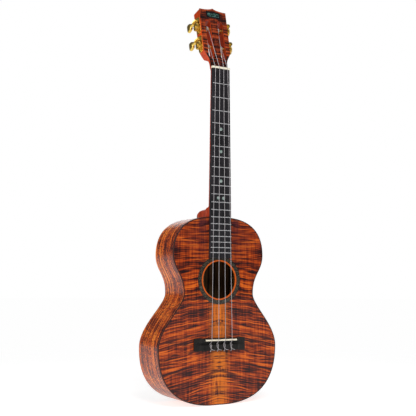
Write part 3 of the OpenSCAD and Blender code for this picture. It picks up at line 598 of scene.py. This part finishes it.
carved_neck()
eased("heel_cap", ebony, edge=0.5 * MM)
eased("headplate", koa_head, edge=0.4 * MM)
dressed("head_inlay", panel_shell)
eased("fretboard", ebony, edge=0.3 * MM)
eased("frets", fret_metal, edge=0.12 * MM, sharp=50.0)
dressed("fret_markers", dot_shell)
eased("nut", bone, edge=0.25 * MM)
eased("saddle", bone, edge=0.25 * MM)
eased("bridge", bridge_wood, edge=0.6 * MM, segments=3)
for k in KEYS:
    eased(f"string_{k}", nylon, sharp=70.0)
    eased(f"string_wraps_{k}", nylon, f"post_{k}", sharp=70.0)


# --- The tuners ---

BUTTON_SIZE = Vector((6.9, 14.6, 16.8)) * MM    # thick, long from the shaft outwards, wide
BUTTON_DEPTH = 33.25 * MM                       # from the head's face to the button's middle
COLLAR_DEPTH = 26.4 * MM


def button(k):
    """An oval button with a soft waist, on a turned collar."""
    low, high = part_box(f"button_{k}")
    seen = in_head((low + high) / 2)
    bm = bmesh.new()
    bmesh.ops.create_cube(bm, size=1.0)
    bmesh.ops.subdivide_edges(bm, edges=bm.edges, cuts=2, use_grid_fill=True)
    for v in bm.verts:                          # part of the way from a cube to a ball
        v.co = v.co.lerp(v.co.normalized() * 0.62, 0.55)
    bmesh.ops.scale(bm, verts=bm.verts, vec=BUTTON_SIZE)
    for v in bm.verts:
        near = 0.5 - v.co.y / (15 * MM)         # 1 at the collar, 0 at the far end
        v.co.z *= 1.06 - 0.3 * max(0.0, near) ** 1.5
    turned = (Matrix.Translation(from_head(seen.x, BUTTON_DEPTH, seen.z))
              @ Matrix.Rotation(-head_tilt, 4, "X"))
    bmesh.ops.transform(bm, matrix=turned, verts=bm.verts)
    bmesh.ops.recalc_face_normals(bm, faces=bm.faces)
    collar = bmesh.ops.create_cone(bm, cap_ends=True, segments=32, radius1=3.0 * MM,
                                   radius2=2.7 * MM, depth=5 * MM)["verts"]
    turned = (Matrix.Translation(from_head(seen.x, COLLAR_DEPTH, seen.z))
              @ Matrix.Rotation(-head_tilt - math.pi / 2, 4, "X"))
    bmesh.ops.transform(bm, matrix=turned, verts=collar)
    obj = piece(f"key_button_{k}", bm, gold, f"key_{k}", [f"button_{k}"], sharp=60.0)
    rounding = obj.modifiers.new("rounding", "SUBSURF")
    rounding.levels = rounding.render_levels = 2


for k in KEYS:
    button(k)
    eased(f"tuner_plate_{k}", gold, edge=0.25 * MM)
    eased(f"roller_{k}", gold, f"post_{k}", edge=0.15 * MM)
    eased(f"gear_{k}", gold, f"post_{k}", edge=0.1 * MM, segments=1)
    eased(f"gear_screw_{k}", gold, f"post_{k}", edge=0.2 * MM)
    eased(f"worm_{k}", gold, f"key_{k}", sharp=50.0)
eased("tuner_screws", gold, edge=0.15 * MM)


# --- The studio ---

def lamp(name, place, aim, size, power):
    """A soft panel of light, in metres and watts, turned to what it lights."""
    data = bpy.data.lights.new(name, "AREA")
    data.shape = "RECTANGLE"
    data.size, data.size_y = size
    data.energy = power
    obj = placed(name, data)
    obj.visible_camera = False
    obj.location = place
    obj.rotation_euler = (Vector(aim) - Vector(place)).to_track_quat("-Z", "Y").to_euler()


lamp("key_light", (-0.5, -2.1, 1.3), (0, 0, -0.3), (1.2, 1.2), 40)
lamp("left_light", (-2.4, -0.7, 0.5), (0, 0, -0.35), (1.2, 1.8), 34)
lamp("right_light", (2.3, -0.5, 0.6), (0, 0, -0.3), (0.8, 1.4), 8)
lamp("rear_light", (0.95, 2.6, 0.5), (0, 0, -0.3), (1.2, 0.9), 7)


def white_room():
    """A white backdrop that adds only a little light to what stands before it."""
    room = bpy.data.worlds.new("studio")
    room.use_nodes = True
    tree = room.node_tree
    backdrop = tree.nodes["Background"]
    backdrop.inputs["Color"].default_value = (1, 1, 1, 1)
    rays = tree.nodes.new("ShaderNodeLightPath")
    strength = tree.nodes.new("ShaderNodeMapRange")
    strength.inputs["To Min"].default_value = 0.1
    strength.inputs["To Max"].default_value = 1.0
    tree.links.new(rays.outputs["Is Camera Ray"], strength.inputs["Value"])
    tree.links.new(strength.outputs[0], backdrop.inputs["Strength"])
    return room


bpy.context.scene.world = white_room()
bpy.context.scene.view_settings.view_transform = "Standard"

bm = bmesh.new()
bmesh.ops.create_circle(bm, cap_ends=True, segments=96, radius=9.0)
bmesh.ops.translate(bm, verts=bm.verts, vec=(0, 0, cad_box[0].z - 0.5 * MM))
floor_mesh = bpy.data.meshes.new("floor")
bm.to_mesh(floor_mesh)
bm.free()
floor = placed("floor", floor_mesh)
floor_mesh.materials.append(floor_white.material)
